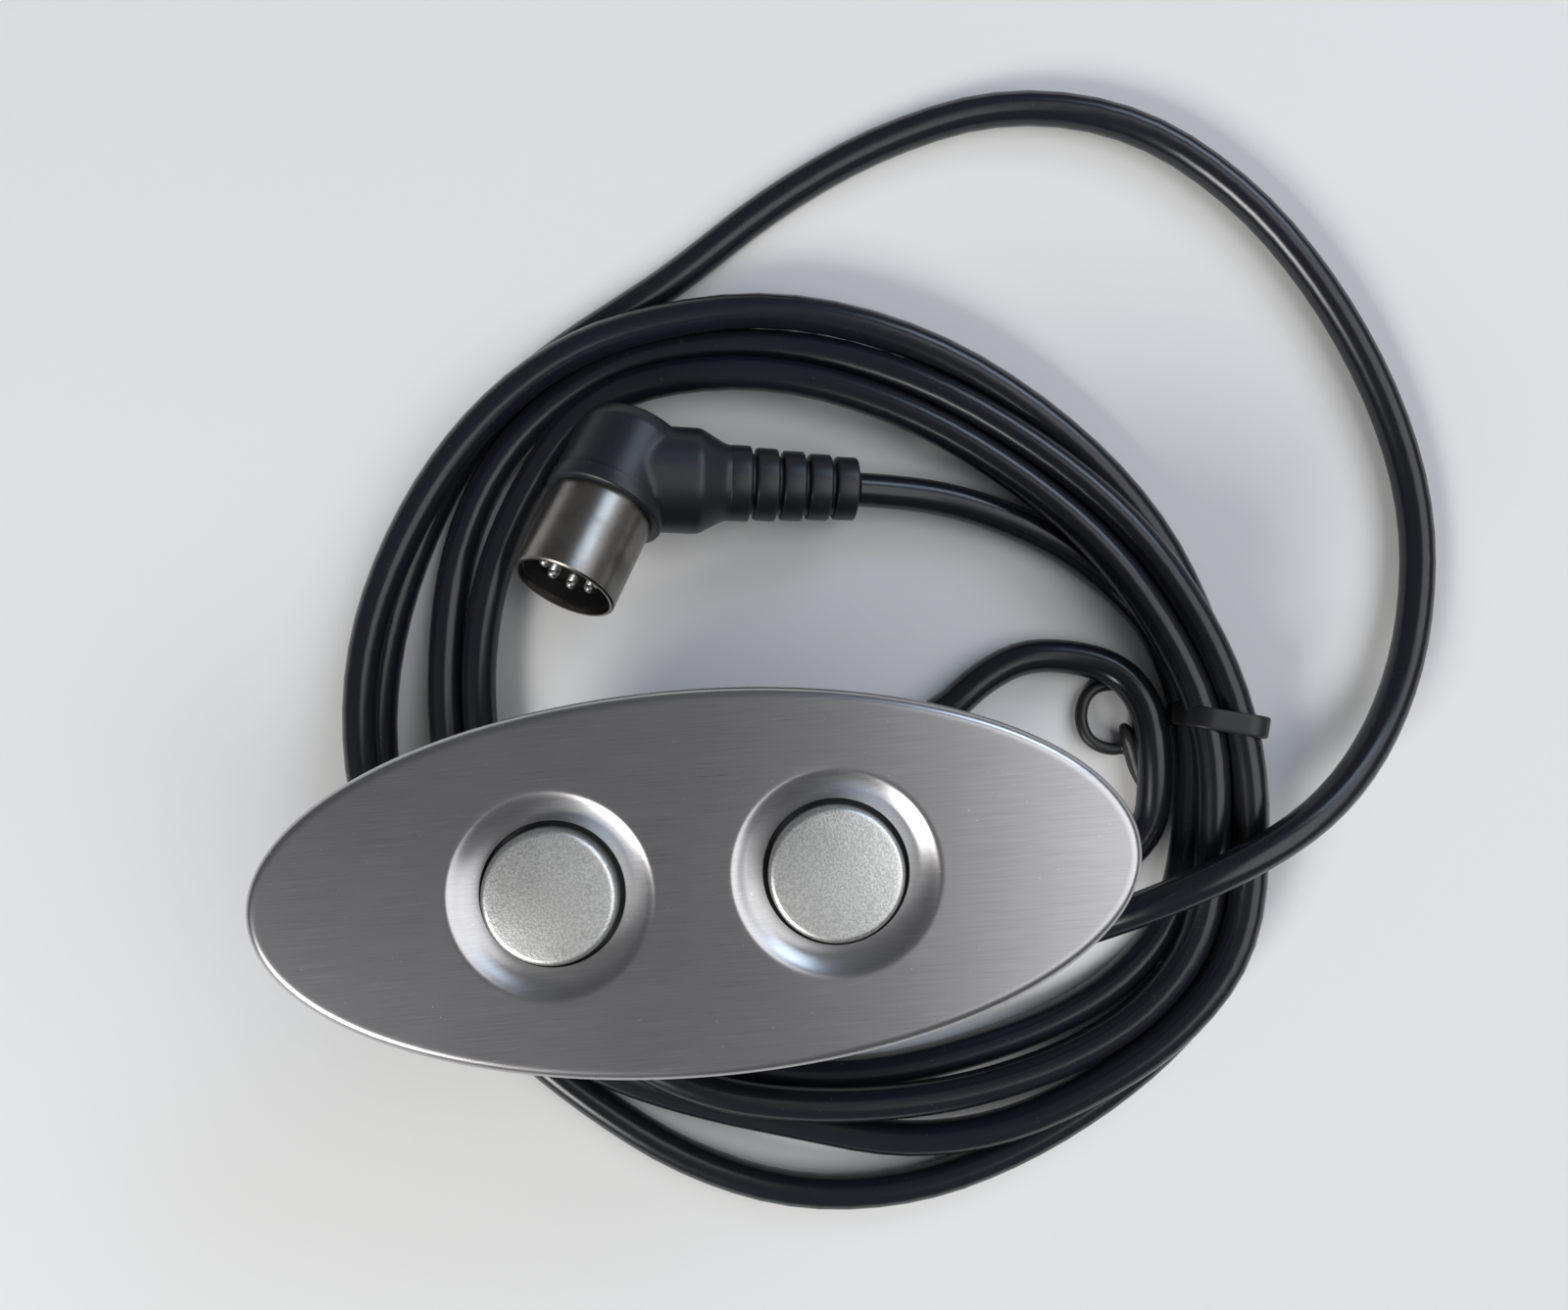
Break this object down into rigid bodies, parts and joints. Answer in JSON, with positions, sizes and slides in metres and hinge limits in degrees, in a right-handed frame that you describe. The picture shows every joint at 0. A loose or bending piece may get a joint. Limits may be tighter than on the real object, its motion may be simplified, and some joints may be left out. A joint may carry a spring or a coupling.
{
  "type": "recliner hand control",
  "caption": "Oval stainless face plate with two round push buttons over a moulded housing, with a coiled black cord, a tie and an angled round plug.",
  "frame": {"origin": "on the floor, under the middle of the housing's flat back", "axes": "+X along the oval plate's long axis, +Y across it, +Z out of the plate's face"},
  "size_m": [0.1472, 0.146, 0.0413],
  "materials": {
    "brushed_stainless": "fine brushed",
    "satin_nickel": "satin",
    "black_moulding": "fine texture",
    "acetal": "smooth",
    "spring_steel": "bright",
    "zinc_steel": "zinc plated",
    "board_laminate": "solder mask",
    "switch_case": "moulded",
    "switch_button": "moulded",
    "cord_jacket": "semi-gloss flexible",
    "core_insulation": "coloured cores",
    "soft_moulding": "semi-gloss moulded",
    "plug_nickel": "drawn nickel",
    "insert_plastic": "moulded",
    "pin_plating": "bright",
    "tie_coating": "coated wire"
  },
  "bodies": {
    "base": {"face_plate": "brushed_stainless", "front_housing": "black_moulding", "rear_cover": "black_moulding", "left_return_spring": "spring_steel", "right_return_spring": "spring_steel", "left_mounting_clip": "spring_steel", "right_mounting_clip": "spring_steel", "cover_screw_1": "zinc_steel", "cover_screw_2": "zinc_steel", "board_screw_1": "zinc_steel", "board_screw_2": "zinc_steel", "stud_nut_1": "zinc_steel", "stud_nut_2": "zinc_steel", "circuit_board": "board_laminate", "left_switch_body": "switch_case", "right_switch_body": "switch_case", "cord_jacket_end": "cord_jacket", "cord_lead": "cord_jacket", "cord_coil": "cord_jacket", "cord_tail": "cord_jacket", "core_wires": "core_insulation", "cord_gland": "soft_moulding", "plug_body": "soft_moulding", "plug_shell": "plug_nickel", "plug_insert": "insert_plastic", "plug_pin_1": "pin_plating", "plug_pin_2": "pin_plating", "plug_pin_3": "pin_plating", "plug_pin_4": "pin_plating", "plug_pin_5": "pin_plating", "cord_tie": "tie_coating"},
    "left_button": {"left_button_cap": "satin_nickel", "left_plunger": "acetal", "left_switch_actuator": "switch_button"},
    "right_button": {"right_button_cap": "satin_nickel", "right_plunger": "acetal", "right_switch_actuator": "switch_button"}
  },
  "joints": [
    {"name": "left_button_press", "type": "slide", "parent": "base", "child": "left_button", "axis": [0, 0, -1], "range_m": [0, 0.0016], "stiffness_N_per_m": 300, "springref_m": -0.003, "deforming": ["left_return_spring"]},
    {"name": "right_button_press", "type": "slide", "parent": "base", "child": "right_button", "axis": [0, 0, -1], "range_m": [0, 0.0016], "stiffness_N_per_m": 300, "springref_m": -0.003, "deforming": ["right_return_spring"]}
  ]
}
